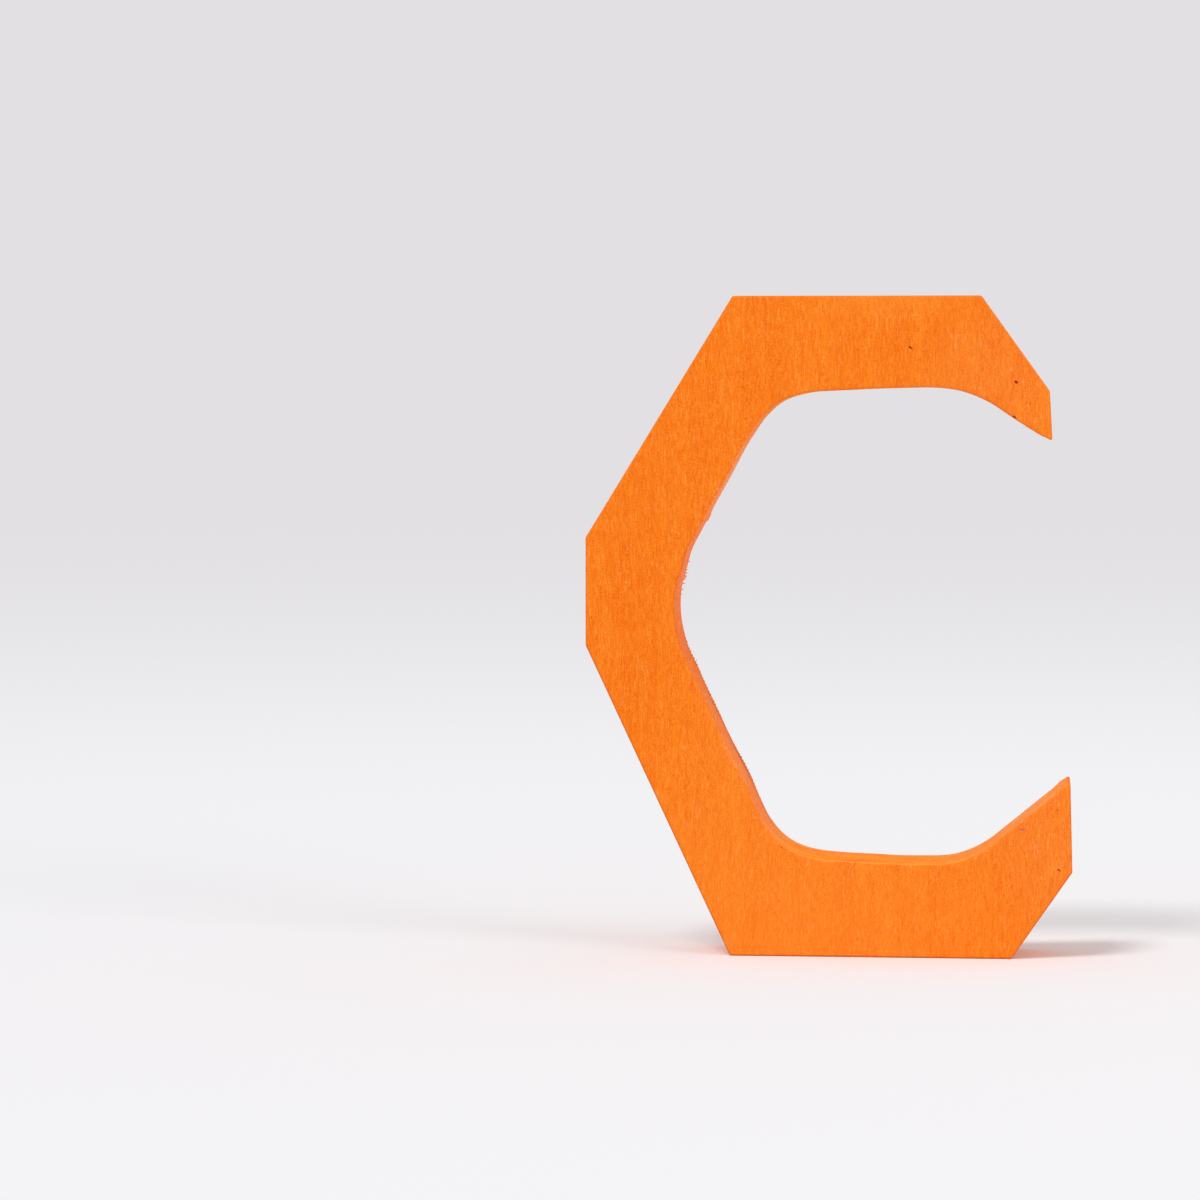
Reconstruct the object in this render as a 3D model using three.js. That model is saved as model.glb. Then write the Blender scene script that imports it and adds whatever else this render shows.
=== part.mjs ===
// Free-standing wooden letter C: one solid board, its outside cut straight, its inside sawn as a freehand
// curve, and every edge eased with sandpaper before staining.
// Millimetres, +Z up. The front face looks along -Y, and the origin is the middle of the base.
import * as THREE from "three";

// Board
const LETTER_HEIGHT = 110;
const LETTER_WIDTH = 81.1;
const BOARD_THICKNESS = 14;

// Straight cuts across the outer corners: how far each one goes sideways and up or down
const UPPER_LEFT_RUN = 24.5;
const UPPER_LEFT_DROP = 40.2;
const LOWER_LEFT_RUN = 24.2;
const LOWER_LEFT_RISE = 51.8;
const UPPER_RIGHT_RUN = 11.35;
const UPPER_RIGHT_DROP = 15.8;
const LOWER_RIGHT_RUN = 10;
const LOWER_RIGHT_RISE = 14.5;

// Blunt ends of the two arms: the upper arm stops short of the lower one, and neither end is quite upright
const UPPER_TIP_SETBACK = 4.1;
const UPPER_TIP_HEIGHT = 8.3;
const UPPER_TIP_LEAN = 0.45;
const LOWER_TIP_HEIGHT = 15.1;
const LOWER_TIP_LEAN = 0.4;

// Stroke widths, square to the outer cut, at the start and the end of each stroke
const TOP_STROKE_RIGHT = 14.6;
const TOP_STROKE_LEFT = 16.5;
const UPPER_LIMB_TOP = 13.2;
const UPPER_LIMB_FOOT = 15.8;
const LOWER_LIMB_TOP = 14;
const LOWER_LIMB_FOOT = 14.8;
const BASE_STROKE_LEFT = 16.8;
const BASE_STROKE_RIGHT = 15;

// Underside of the upper arm and upper side of the lower arm, as slopes in degrees from level
const UPPER_LIP_SLOPE = 32.9;
const LOWER_LIP_SLOPE = 39.3;

// Bends of the sawn inner curve
const UPPER_LIP_RADIUS = 21.5;
const UPPER_BEND_RADIUS = 14.6;
const STEM_BEND_RADIUS = 23;
const LOWER_BEND_RADIUS = 12.5;
const LOWER_LIP_RADIUS = 17.3;

// Sanding: outer corners seen from the front, pointed arm ends, and the edges round both faces
const CORNER_RADIUS = 0.6;
const TIP_RADIUS = 0.45;
const ARRIS_RADIUS = 0.4;

// Facets in each bend and in each eased edge
const BEND_SEGMENTS = 5;
const ARRIS_SEGMENTS = 3;

const point = (x, z) => new THREE.Vector2(x, z);
const lineThrough = (from, to) => ({ from, to });

// The inner edge of a stroke whose outer cut runs from one corner to the next, anticlockwise
function strokeEdge(outerFrom, outerTo, widthFrom, widthTo) {
  const along = outerTo.clone().sub(outerFrom).normalize();
  const inward = point(-along.y, along.x);
  return lineThrough(
    outerFrom.clone().addScaledVector(inward, widthFrom),
    outerTo.clone().addScaledVector(inward, widthTo),
  );
}

// A saw line that leaves an arm's end towards the stem, rising or falling at a slope
function lipEdge(tip, slopeDegrees) {
  const slope = THREE.MathUtils.degToRad(slopeDegrees);
  return lineThrough(tip, point(tip.x - Math.cos(slope), tip.y + Math.sin(slope)));
}

// Where two endless lines cross
function crossing(first, second) {
  const along = first.to.clone().sub(first.from);
  const other = second.to.clone().sub(second.from);
  const between = second.from.clone().sub(first.from);
  return first.from.clone().addScaledVector(along, between.cross(other) / along.cross(other));
}

// The corners of the letter before rounding, anticlockwise from the top right, each with its radius
function letterCorners() {
  const left = -LETTER_WIDTH / 2;
  const right = LETTER_WIDTH / 2;

  const upperTipHigh = point(right - UPPER_TIP_SETBACK, LETTER_HEIGHT - UPPER_RIGHT_DROP);
  const upperTipLow = point(upperTipHigh.x + UPPER_TIP_LEAN, upperTipHigh.y - UPPER_TIP_HEIGHT);
  const topRight = point(upperTipHigh.x - UPPER_RIGHT_RUN, LETTER_HEIGHT);
  const topLeft = point(left + UPPER_LEFT_RUN, LETTER_HEIGHT);
  const leftHigh = point(left, LETTER_HEIGHT - UPPER_LEFT_DROP);
  const leftLow = point(left, LOWER_LEFT_RISE);
  const baseLeft = point(left + LOWER_LEFT_RUN, 0);
  const baseRight = point(right - LOWER_RIGHT_RUN, 0);
  const lowerTipLow = point(right, LOWER_RIGHT_RISE);
  const lowerTipHigh = point(right - LOWER_TIP_LEAN, LOWER_RIGHT_RISE + LOWER_TIP_HEIGHT);

  const upperLip = lipEdge(upperTipLow, UPPER_LIP_SLOPE);
  const top = strokeEdge(topRight, topLeft, TOP_STROKE_RIGHT, TOP_STROKE_LEFT);
  const upperLimb = strokeEdge(topLeft, leftHigh, UPPER_LIMB_TOP, UPPER_LIMB_FOOT);
  const lowerLimb = strokeEdge(leftLow, baseLeft, LOWER_LIMB_TOP, LOWER_LIMB_FOOT);
  const base = strokeEdge(baseLeft, baseRight, BASE_STROKE_LEFT, BASE_STROKE_RIGHT);
  const lowerLip = lipEdge(lowerTipHigh, -LOWER_LIP_SLOPE);

  const outside = [topRight, topLeft, leftHigh, leftLow, baseLeft, baseRight, lowerTipLow]
    .map((at) => ({ at, radius: CORNER_RADIUS }));
  return [
    ...outside,
    { at: lowerTipHigh, radius: TIP_RADIUS },
    { at: crossing(base, lowerLip), radius: LOWER_LIP_RADIUS },
    { at: crossing(lowerLimb, base), radius: LOWER_BEND_RADIUS },
    { at: crossing(upperLimb, lowerLimb), radius: STEM_BEND_RADIUS },
    { at: crossing(top, upperLimb), radius: UPPER_BEND_RADIUS },
    { at: crossing(upperLip, top), radius: UPPER_LIP_RADIUS },
    { at: upperTipLow, radius: TIP_RADIUS },
    { at: upperTipHigh, radius: CORNER_RADIUS },
  ];
}

// A closed outline of straight cuts joined by arcs; an arc never takes more than half of a straight
function roundedOutline(corners) {
  const outline = new THREE.Shape();
  corners.forEach(({ at, radius }, index) => {
    const before = corners.at(index - 1).at;
    const after = corners[(index + 1) % corners.length].at;
    const back = before.clone().sub(at);
    const forth = after.clone().sub(at);
    const halfAngle = Math.acos(back.dot(forth) / (back.length() * forth.length())) / 2;
    const room = Math.min(back.length(), forth.length()) / 2;
    const tangent = Math.min(radius / Math.tan(halfAngle), room);
    const bend = tangent * Math.tan(halfAngle);

    const middle = back.clone().normalize().add(forth.clone().normalize()).normalize();
    const centre = at.clone().addScaledVector(middle, bend / Math.sin(halfAngle));
    const start = at.clone().addScaledVector(back.normalize(), tangent).sub(centre);
    const end = at.clone().addScaledVector(forth.normalize(), tangent).sub(centre);
    const clockwise = start.cross(end) < 0;
    outline.absarc(centre.x, centre.y, bend, start.angle(), end.angle(), clockwise);
  });
  return outline.closePath();
}

function makeLetter() {
  const depth = BOARD_THICKNESS - 2 * ARRIS_RADIUS;
  const geometry = new THREE.ExtrudeGeometry(roundedOutline(letterCorners()), {
    depth,
    curveSegments: BEND_SEGMENTS,
    bevelEnabled: true,
    bevelSize: ARRIS_RADIUS,
    bevelThickness: ARRIS_RADIUS,
    bevelOffset: -ARRIS_RADIUS,
    bevelSegments: ARRIS_SEGMENTS,
  });
  geometry.translate(0, 0, -depth / 2);

  const stainedWood = new THREE.MeshStandardMaterial({ color: 0xf98028, roughness: 0.62, metalness: 0 });
  const letter = new THREE.Mesh(geometry, stainedWood);
  letter.name = "letter_c";
  letter.rotation.x = Math.PI / 2;
  return letter;
}

const woodenLetter = new THREE.Group();
woodenLetter.add(makeLetter());

export default woodenLetter;
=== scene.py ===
import math

import bmesh
import bpy
import numpy
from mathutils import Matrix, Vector, kdtree, noise
from mathutils.geometry import delaunay_2d_cdt


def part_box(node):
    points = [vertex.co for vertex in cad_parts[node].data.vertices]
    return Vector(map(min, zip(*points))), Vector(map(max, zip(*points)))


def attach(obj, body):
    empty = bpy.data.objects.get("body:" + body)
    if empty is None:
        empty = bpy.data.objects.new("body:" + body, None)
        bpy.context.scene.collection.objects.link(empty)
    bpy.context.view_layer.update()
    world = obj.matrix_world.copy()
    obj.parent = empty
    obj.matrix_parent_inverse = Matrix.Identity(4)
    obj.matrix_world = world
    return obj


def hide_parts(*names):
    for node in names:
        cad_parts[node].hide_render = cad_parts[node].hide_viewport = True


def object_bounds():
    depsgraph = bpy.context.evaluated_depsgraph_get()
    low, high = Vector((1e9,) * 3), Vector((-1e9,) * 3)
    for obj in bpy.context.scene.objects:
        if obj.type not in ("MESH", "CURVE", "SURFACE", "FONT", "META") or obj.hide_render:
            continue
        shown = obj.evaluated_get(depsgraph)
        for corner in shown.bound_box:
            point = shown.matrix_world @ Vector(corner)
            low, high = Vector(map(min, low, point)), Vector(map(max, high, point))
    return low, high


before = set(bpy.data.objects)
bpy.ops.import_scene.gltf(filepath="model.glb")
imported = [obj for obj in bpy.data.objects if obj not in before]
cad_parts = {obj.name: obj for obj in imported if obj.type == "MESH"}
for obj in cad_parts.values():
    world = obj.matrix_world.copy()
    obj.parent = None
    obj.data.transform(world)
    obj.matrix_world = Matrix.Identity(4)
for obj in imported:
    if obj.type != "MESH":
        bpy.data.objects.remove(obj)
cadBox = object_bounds()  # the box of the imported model
mm = 0.001
scene = bpy.context.scene
scene.view_settings.view_transform = "Standard"


# Colours are written as they should look on screen, 0 to 255

def linear(level):
    share = level / 255
    return share / 12.92 if share <= 0.04045 else ((share + 0.055) / 1.055) ** 2.4


def tint(red, green, blue):
    return (linear(red), linear(green), linear(blue), 1.0)


# Node helpers, for materials and for geometry trees alike

def addNode(tree, kind, inputs=None, **settings):
    made = tree.nodes.new(kind)
    for name, value in settings.items():
        setattr(made, name, value)
    for key, value in (inputs or {}).items():
        if isinstance(value, bpy.types.NodeSocket):
            tree.links.new(value, made.inputs[key])
        else:
            made.inputs[key].default_value = value
    return made


def calc(tree, operation, *values):
    return addNode(tree, "ShaderNodeMath", dict(enumerate(values)), operation=operation).outputs[0]


def times(tree, first, second):
    return calc(tree, "MULTIPLY", first, second)


def addTimes(tree, base, value, factor):
    return calc(tree, "MULTIPLY_ADD", value, factor, base)


def centred(tree, value):
    return calc(tree, "SUBTRACT", value, 0.5)


def vectorCalc(tree, operation, *values):
    made = addNode(tree, "ShaderNodeVectorMath", dict(enumerate(values)), operation=operation)
    return made.outputs["Value"] if operation == "LENGTH" else made.outputs["Vector"]


def scaled(tree, vector, factor):
    made = addNode(tree, "ShaderNodeVectorMath", {0: vector, "Scale": factor}, operation="SCALE")
    return made.outputs["Vector"]


def remap(tree, value, given, wanted=(0.0, 1.0), smooth=False):
    inputs = dict(enumerate((value, *given, *wanted)))
    curve = "SMOOTHSTEP" if smooth else "LINEAR"
    return addNode(tree, "ShaderNodeMapRange", inputs, interpolation_type=curve).outputs[0]


def mixValue(tree, factor, first, second):
    return addNode(tree, "ShaderNodeMix", {0: factor, 2: first, 3: second}).outputs[0]


def mixColour(tree, factor, first, second):
    return addNode(tree, "ShaderNodeMix", {0: factor, 6: first, 7: second}, data_type="RGBA").outputs[2]


def layOver(tree, under, mask, strength, over):
    return mixColour(tree, times(tree, mask, strength), under, over)


def mixShader(tree, factor, first, second):
    inputs = {0: factor, 1: first.outputs[0], 2: second.outputs[0]}
    return addNode(tree, "ShaderNodeMixShader", inputs).outputs[0]


def noiseAt(tree, vector, scale=1.0, detail=0.0, roughness=0.5):
    inputs = {"Vector": vector, "Scale": scale, "Detail": detail, "Roughness": roughness}
    return addNode(tree, "ShaderNodeTexNoise", inputs).outputs


def noiseSwing(tree, vector, scale=1.0, detail=0.0, roughness=0.5):
    return centred(tree, noiseAt(tree, vector, scale, detail, roughness)[0])


def noiseShift(tree, vector, scale=1.0, detail=0.0):
    return vectorCalc(tree, "SUBTRACT", noiseAt(tree, vector, scale, detail)["Color"], (0.5, 0.5, 0.5))


def lineNoise(tree, value, scale=1.0, detail=0.0):
    inputs = {"W": value, "Scale": scale, "Detail": detail}
    return centred(tree, addNode(tree, "ShaderNodeTexNoise", inputs, noise_dimensions="1D").outputs[0])


def newMaterial(name):
    material = bpy.data.materials.new(name)
    material.use_nodes = True
    material.node_tree.nodes.clear()
    return material, material.node_tree


def newTree(name, kind, inputs, outputs):
    tree = bpy.data.node_groups.new(name, kind)
    for way, sockets in (("INPUT", inputs), ("OUTPUT", outputs)):
        for socketName, socketType in sockets.items():
            tree.interface.new_socket(socketName, in_out=way, socket_type=socketType)
    start = tree.nodes.new("NodeGroupInput")
    end = tree.nodes.new("NodeGroupOutput")
    return tree, start.outputs, end.inputs


# Camera

cameraSettings = {
    "place": Vector((0.03282, -0.7392, 0.09608)),
    "downward": 2.856,  # degrees below level
    "turn": 5.532,  # degrees to the left of straight on
    "lens": 132.4,
    "sensor": 36.0,
    "clip": (0.01, 50.0),
}


def makeCamera():
    c = cameraSettings
    data = bpy.data.cameras.new("camera")
    data.lens = c["lens"]
    data.sensor_width = c["sensor"]
    data.clip_start, data.clip_end = c["clip"]
    camera = bpy.data.objects.new("camera", data)
    camera.location = c["place"]
    camera.rotation_euler = (math.radians(90 - c["downward"]), 0, math.radians(c["turn"]))
    scene.collection.objects.link(camera)
    scene.camera = camera


# Studio: a pale floor that fades into pale grey, a soft key from the upper left, and a fill from the right

studioSettings = {
    "floorRadius": 6.0,
    "floorSides": 96,
    "floorGap": 0.02 * mm,  # just clear of the base
    "floorColour": tint(243, 242, 244),
    "wallColour": tint(226, 224, 227),
    "wallLight": 1.0,  # shows the wall's colour as it is written
    "fadeNear": 1.411,  # the floor turns to the wall's tone as this length over the distance falls
    "fadeLevel": 1.4,
    "fadeOffset": 0.739,
    "skyColour": (1.0, 1.0, 1.0, 1.0),
    "skyLight": 0.575,
    "keyFrom": Vector((-0.4, -0.48, 1.0)),
    "keyDistance": 2.0,
    "keyPower": 1.31,
    "keySpread": 18,  # degrees, as large as a softbox looks from the letter
    "fillFrom": Vector((1.0, -0.7, 0.45)),
    "fillDistance": 2.2,
    "fillSize": 1.2,
    "fillPower": 11.5,
}


def backgroundRays(tree):
    rays = addNode(tree, "ShaderNodeLightPath").outputs
    shown = calc(tree, "MAXIMUM", rays["Is Camera Ray"], rays["Is Glossy Ray"])
    return calc(tree, "MAXIMUM", shown, rays["Is Transmission Ray"])


def makeWorld():
    s = studioSettings
    world = bpy.data.worlds.new("studio")
    scene.world = world
    world.use_nodes = True
    tree = world.node_tree
    tree.nodes.clear()
    light = addNode(tree, "ShaderNodeBackground", {"Color": s["skyColour"], "Strength": s["skyLight"]})
    wall = addNode(tree, "ShaderNodeBackground", {"Color": s["wallColour"], "Strength": s["wallLight"]})
    mixed = mixShader(tree, backgroundRays(tree), light, wall)
    addNode(tree, "ShaderNodeOutputWorld", {"Surface": mixed})


def makeFloorMaterial():
    s = studioSettings
    material, tree = newMaterial("paleFloor")
    place = addNode(tree, "ShaderNodeTexCoord").outputs["Object"]
    reach = calc(tree, "ADD", vectorCalc(tree, "LENGTH", place), s["fadeOffset"])
    fade = calc(tree, "SUBTRACT", s["fadeLevel"], calc(tree, "DIVIDE", s["fadeNear"], reach))
    fade = remap(tree, fade, (0.0, 1.0), smooth=True)
    matt = addNode(tree, "ShaderNodeBsdfDiffuse", {"Color": s["floorColour"]})
    wall = addNode(tree, "ShaderNodeEmission", {"Color": s["wallColour"], "Strength": s["wallLight"]})
    mixed = mixShader(tree, times(tree, fade, backgroundRays(tree)), matt, wall)
    addNode(tree, "ShaderNodeOutputMaterial", {"Surface": mixed})
    return material


def makeFloor():
    s = studioSettings
    disc = bmesh.new()
    bmesh.ops.create_circle(disc, cap_ends=True, segments=s["floorSides"], radius=s["floorRadius"])
    mesh = bpy.data.meshes.new("floor")
    disc.to_mesh(mesh)
    disc.free()
    mesh.materials.append(makeFloorMaterial())
    floor = bpy.data.objects.new("floor", mesh)
    floor.location.z = cadBox[0].z - s["floorGap"]
    scene.collection.objects.link(floor)


def makeLamp(name, kind, towards, distance, power):
    data = bpy.data.lights.new(name, kind)
    data.energy = power
    lamp = bpy.data.objects.new(name, data)
    middle = (cadBox[0] + cadBox[1]) / 2
    lamp.location = middle + towards.normalized() * distance
    lamp.rotation_euler = towards.to_track_quat("Z", "Y").to_euler()
    lamp.visible_camera = False
    scene.collection.objects.link(lamp)
    return data


def makeStudio():
    s = studioSettings
    makeWorld()
    makeFloor()
    key = makeLamp("key", "SUN", s["keyFrom"], s["keyDistance"], s["keyPower"])
    key.angle = math.radians(s["keySpread"])
    fill = makeLamp("fill", "AREA", s["fillFrom"], s["fillDistance"], s["fillPower"])
    fill.shape = "DISK"
    fill.size = s["fillSize"]
    print("studio: floor, key and fill")


# Grain of the planed faces, the sawn wall and the loose fibres, in millimetres with the fibre upright

grainLayers = {  # repeats for each millimetre across and along the fibre, and a shift that parts the layers
    "fine": {"repeat": (4.3, 4.3, 0.55), "shift": (0, 0, 0), "detail": 2},
    "speckle": {"repeat": (5.5, 5.5, 4.6), "shift": (5, 1, 9), "detail": 1},
    "medium": {"repeat": (1.0, 1.0, 0.12), "shift": (7, 3, 5), "detail": 1},
    "broad": {"repeat": (0.14, 0.14, 0.01), "shift": (2, 9, 4), "detail": 2},
    "mottle": {"repeat": (0.35, 0.35, 0.28), "shift": (8, 2, 3), "detail": 2},
    "dash": {"repeat": (4.0, 4.0, 0.9), "shift": (11, 4, 8), "detail": 1},
    "streak": {"repeat": (3.6, 3.6, 0.7), "shift": (3, 13, 6), "detail": 1},
}
grainSettings = {
    "driftRepeat": (0.035, 0.035, 0.009),  # slow bends of the fibre
    "driftReach": (4.0, 4.0, 0.0),
    "speckleShare": 1.3,
    "mottleShare": 0.5,
    "pith": (-60.0, 90.0, 0.0),  # middle of the growth rings, behind the board
    "ringRepeat": 0.42,
    "ringDetail": 2,
    "dashRange": (0.6, 0.74),  # noise levels at which a dash starts and is full
    "dashDepth": 0.5,
    "streakRange": (0.57, 0.74),
}


def makeGrain():
    g = grainSettings
    tree, given, result = newTree(
        "grain", "ShaderNodeTree",
        {"Point": "NodeSocketVector", "Fine": "NodeSocketFloat", "Bands": "NodeSocketFloat",
         "Rings": "NodeSocketFloat"},
        {"Tone": "NodeSocketFloat", "Dashes": "NodeSocketFloat", "Streaks": "NodeSocketFloat",
         "Height": "NodeSocketFloat"})
    slow = vectorCalc(tree, "MULTIPLY", given["Point"], g["driftRepeat"])
    drift = vectorCalc(tree, "MULTIPLY", noiseShift(tree, slow, detail=1), g["driftReach"])
    bent = vectorCalc(tree, "ADD", given["Point"], drift)

    def layer(name):
        kind = grainLayers[name]
        moved = vectorCalc(tree, "MULTIPLY_ADD", bent, kind["repeat"], kind["shift"])
        return noiseAt(tree, moved, detail=kind["detail"])[0]

    def swing(name):
        return centred(tree, layer(name))

    small = addTimes(tree, swing("fine"), swing("speckle"), g["speckleShare"])
    small = times(tree, small, given["Fine"])
    large = calc(tree, "ADD", swing("medium"), swing("broad"))
    large = addTimes(tree, large, swing("mottle"), g["mottleShare"])
    large = times(tree, large, given["Bands"])
    fromPith = vectorCalc(tree, "SUBTRACT", bent, g["pith"])
    fromPith = vectorCalc(tree, "LENGTH", vectorCalc(tree, "MULTIPLY", fromPith, (1, 1, 0)))
    rings = lineNoise(tree, times(tree, fromPith, g["ringRepeat"]), detail=g["ringDetail"])

    dashes = remap(tree, layer("dash"), g["dashRange"], smooth=True)
    looks = {
        "Tone": addTimes(tree, calc(tree, "ADD", small, large), rings, given["Rings"]),
        "Dashes": dashes,
        "Streaks": remap(tree, layer("streak"), g["streakRange"], smooth=True),
        "Height": addTimes(tree, small, dashes, -g["dashDepth"]),
    }
    for name, value in looks.items():
        tree.links.new(value, result[name])
    return tree


def millimetres(tree):
    place = addNode(tree, "ShaderNodeTexCoord").outputs["Object"]
    return vectorCalc(tree, "MULTIPLY", place, (1000, 1000, 1000))


def useGrain(tree, grain, point, fine, bands, rings):
    inputs = {"Point": point, "Fine": fine, "Bands": bands, "Rings": rings}
    return addNode(tree, "ShaderNodeGroup", inputs, node_tree=grain).outputs


def readAttribute(tree, name):
    return addNode(tree, "ShaderNodeAttribute", attribute_name=name).outputs["Fac"]


# Stained wood: planed on the faces, cut clean outside, and rougher and more uneven on the sawn inner wall

stainSettings = {
    "deep": tint(239, 101, 0),
    "light": tint(255, 142, 32),
    "fine": 1.3,
    "bands": 0.46,
    "rings": 0.2,
    "endRings": 0.8,  # growth rings show more where the cut crosses the fibre
    "dashColour": tint(222, 84, 6),
    "dashStrength": 0.3,
    "streakColour": tint(255, 170, 92),
    "streakStrength": 0.3,
    "endGrain": tint(240, 110, 12),
    "endGrainStrength": 0.35,
    # paler edges: real wear on every edge, and a painted highlight where an inner edge faces up
    "rubbed": tint(255, 172, 84),
    "rubbedAndLitStrength": 0.6,
    "roughness": 0.64,
    "roughnessSwing": 0.3,
    "grainDepth": 0.02 * mm,
    "specular": 0.08,
    "sheen": 0.02,
    "sheenRoughness": 0.5,
}
sawnSettings = {
    "speckRepeat": (2.2, 0.45, 2.2),  # rough specks for each millimetre, drawn out the way the saw went
    "speckHeight": 1.6,
    "ragged": 3.0,  # how unevenly the sawn wall meets the planed face
    "sawnRange": (0.3, 0.9),
    "ringsLost": 0.7,  # share of the growth rings that the rough wall hides
    "sideDeep": tint(255, 96, 30),
    "sideLight": tint(255, 154, 76),
    "endDeep": tint(248, 122, 4),
    "endLight": tint(255, 162, 30),
    "endRange": (0.3, 0.75),  # how far the cut crosses the fibre as it turns to the end's colours
    "toneSwing": 1.1,
    "lineSwing": 1.2,
    "lineRepeat": 1200.0,  # saw lines for each metre along the cut
    "lineDetail": 2,
    "lineSlant": 0.03,
    "lineHeight": 1.2,
    "endLines": 0.25,  # share of the saw lines left where the cut crosses the fibre
    "wipeRepeat": (60.0, 380.0, 0.0),  # streaks of wiped stain for each metre along and across the wall
    "wipeSwing": 1.8,
    # paler, pinker wall: partly less stain, partly a painted reflection of the bright backdrop
    "pale": tint(255, 172, 112),
    "paleStrength": 0.45,
    "blotch": tint(238, 86, 18),
    "blotchStrength": 0.34,
    "blotchRepeat": 0.5,
    "blotchRange": (0.5, 0.72),
    # painted shade along back, front and outer edges that turn away from the light
    "darkLine": tint(206, 70, 20),
    "darkBreak": 0.45,  # how unevenly the saw lines break up the painted shade
    "darkRange": (0.1, 1.0),
    "roughness": 0.85,
}

# Marks on the front face, in the order they lie over each other: place across and up, half length and half
# width in millimetres, tilt in degrees, and the shares of the size between which a mark fades out
markSettings = {
    "faceDepth": 7.0,  # the front face lies this far in front of the origin
    "depth": 1.5,
    "ragged": 0.32,
    "raggedRepeat": 3.0,
}
markKinds = {
    "washes": {
        "colour": tint(255, 158, 62), "strength": 0.18, "fade": (0.0, 1.0), "ragged": False,
        "places": [
            {"at": (-6.0, 8.0), "size": (56, 46)},
            {"at": (10.0, 109.0), "size": (20, 4)},
        ],
    },
    "hazes": {
        "colour": tint(255, 170, 120), "strength": 0.05, "fade": (0.2, 1.0), "ragged": False,
        "places": [
            {"at": (29.0, 97.0), "size": (20, 15)},
            {"at": (38.0, 20.0), "size": (16, 22)},
        ],
    },
    "paleStreaks": {
        "colour": tint(255, 166, 92), "strength": 0.55, "fade": (0.2, 1.0), "ragged": False,
        "within": "Streaks",  # only the grain's own streaks turn pale here
        "places": [
            {"at": (36.8, 20.7), "size": (0.7, 0.7)},
            {"at": (10.2, 106.6), "size": (4.2, 3.4)},
            {"at": (21.0, 102.7), "size": (3.6, 1.9), "tilt": -35},
            {"at": (-28.6, 64.2), "size": (1.1, 2.6)},
            {"at": (39.0, 21.5), "size": (1.0, 6.0)},
        ],
    },
    "rubs": {
        "colour": tint(255, 160, 124), "strength": 0.45, "fade": (0.2, 1.1), "ragged": True,
        "places": [
            {"at": (34.3, 18.7), "size": (0.7, 0.17), "tilt": -35},
            {"at": (36.8, 20.8), "size": (0.5, 0.18), "tilt": -20},
            {"at": (35.3, 22.2), "size": (0.5, 0.14), "tilt": 60},
            {"at": (35.2, 23.1), "size": (0.4, 0.12)},
            {"at": (38.8, 15.6), "size": (0.5, 0.16), "tilt": -20},
        ],
    },
    "smears": {
        "colour": tint(206, 80, 92), "strength": 0.6, "fade": (0.4, 1.1), "ragged": True,
        "places": [
            {"at": (32.2, 21.6), "size": (0.75, 0.28), "tilt": -8},
            {"at": (4.4, 14.3), "size": (0.22, 0.22)},
            {"at": (38.1, 26.8), "size": (0.15, 0.13)},
        ],
    },
    "faintFlecks": {
        "colour": tint(190, 60, 18), "strength": 0.55, "fade": (0.5, 1.1), "ragged": True,
        "places": [
            {"at": (38.1, 24.9), "size": (0.24, 0.14), "tilt": -60},
            {"at": (-39.5, 56.5), "size": (0.2, 0.13), "tilt": -60},
            {"at": (33.2, 92.2), "size": (0.34, 0.15), "tilt": -70},
            {"at": (17.0, 106.8), "size": (0.22, 0.18), "tilt": -60},
            {"at": (-26.8, 48.8), "size": (0.25, 0.12), "tilt": -80},
            {"at": (-15.8, 32.8), "size": (0.16, 0.1), "tilt": -60},
            {"at": (-13.1, 27.2), "size": (0.2, 0.1), "tilt": 20},
            {"at": (-11.5, 23.7), "size": (0.18, 0.1), "tilt": 40},
            {"at": (-7.7, 18.3), "size": (0.3, 0.1), "tilt": 20},
        ],
    },
    "flecks": {
        "colour": tint(140, 24, 0), "strength": 1.0, "fade": (0.6, 1.15), "ragged": True,
        "places": [
            {"at": (13.5, 101.4), "size": (0.42, 0.2), "tilt": 38},
            {"at": (30.9, 95.7), "size": (0.44, 0.22), "tilt": 28},
            {"at": (30.7, 89.9), "size": (0.34, 0.17), "tilt": 33},
            {"at": (38.3, 14.9), "size": (0.38, 0.13), "tilt": 28},
        ],
    },
}


def markMask(tree, point, kind):
    mask = None
    for mark in kind["places"]:
        across, height = mark["at"]
        half, thick = mark["size"]
        local = addNode(tree, "ShaderNodeMapping", {
            "Vector": point,
            "Location": (across, -markSettings["faceDepth"], height),
            "Rotation": (0, math.radians(mark.get("tilt", 0)), 0),
            "Scale": (half, markSettings["depth"], thick),
        }, vector_type="TEXTURE")
        away = vectorCalc(tree, "LENGTH", local.outputs[0])
        inside = remap(tree, away, kind["fade"], (1.0, 0.0), smooth=True)
        mask = inside if mask is None else calc(tree, "MAXIMUM", mask, inside)
    return mask


def addMarks(tree, colour, looks, point):
    shake = noiseShift(tree, point, markSettings["raggedRepeat"], detail=1)
    shaken = vectorCalc(tree, "ADD", point, scaled(tree, shake, markSettings["ragged"]))
    for kind in markKinds.values():
        mask = markMask(tree, shaken if kind["ragged"] else point, kind)
        if "within" in kind:
            mask = times(tree, mask, looks[kind["within"]])
        colour = layOver(tree, colour, mask, kind["strength"], kind["colour"])
    return colour


def planedColour(tree, looks, endGrain):
    s = stainSettings
    colour = mixColour(tree, calc(tree, "ADD", looks["Tone"], 0.5), s["deep"], s["light"])
    colour = layOver(tree, colour, looks["Dashes"], s["dashStrength"], s["dashColour"])
    colour = layOver(tree, colour, looks["Streaks"], s["streakStrength"], s["streakColour"])
    colour = layOver(tree, colour, endGrain, s["endGrainStrength"], s["endGrain"])
    # paler edges: wear, and a painted highlight on inner edges that face up
    return layOver(tree, colour, readAttribute(tree, "rubbed"), s["rubbedAndLitStrength"], s["rubbed"])


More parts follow.
